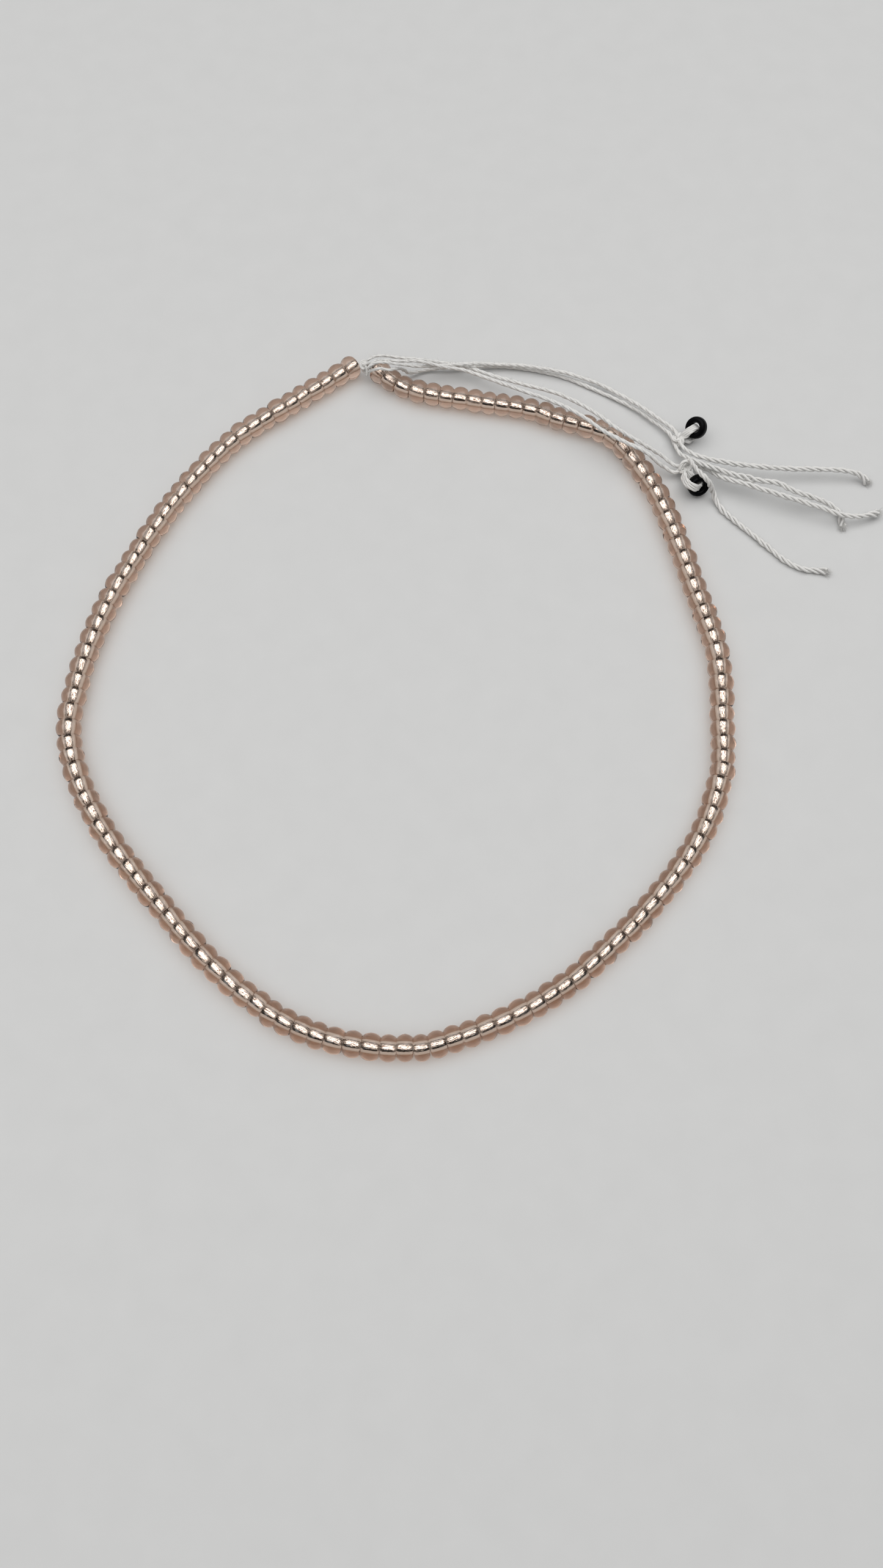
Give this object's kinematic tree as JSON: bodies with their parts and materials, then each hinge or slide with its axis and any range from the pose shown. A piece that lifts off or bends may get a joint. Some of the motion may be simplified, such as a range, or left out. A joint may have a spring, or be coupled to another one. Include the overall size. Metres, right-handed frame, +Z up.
{
  "type": "beaded anklet",
  "caption": "Untied anklet lying flat: an almost closed string of small silver-lined rose glass beads, with white thread ties knotted through black glass beads.",
  "frame": {"origin": "on the surface that the anklet lies on, under the middle of the bead string's outer bounds", "axes": "+Z up from the surface; +Y from the middle of the loop towards the gap in the string; +X towards the side where the tails stand out"},
  "size_m": [0.1007, 0.0912, 0.0044],
  "materials": {
    "rose_glass": "clear rose glass with a silver-lined hole",
    "white_thread": "twisted thread",
    "black_glass": "opaque black, glossy"
  },
  "bodies": {
    "root": {"bead_string": "rose_glass", "end_knot": "white_thread", "lower_tie_left": "white_thread", "lower_tie_right": "white_thread", "upper_tie_left": "white_thread", "upper_tie_right": "white_thread", "upper_knot": "white_thread", "lower_knot": "white_thread", "upper_bead_turn": "white_thread", "lower_bead_turn": "white_thread", "upper_black_bead": "black_glass", "lower_black_bead": "black_glass", "upper_tail_left": "white_thread", "upper_tail_right": "white_thread", "lower_tail_left": "white_thread", "lower_tail_right": "white_thread"}
  },
  "joints": []
}
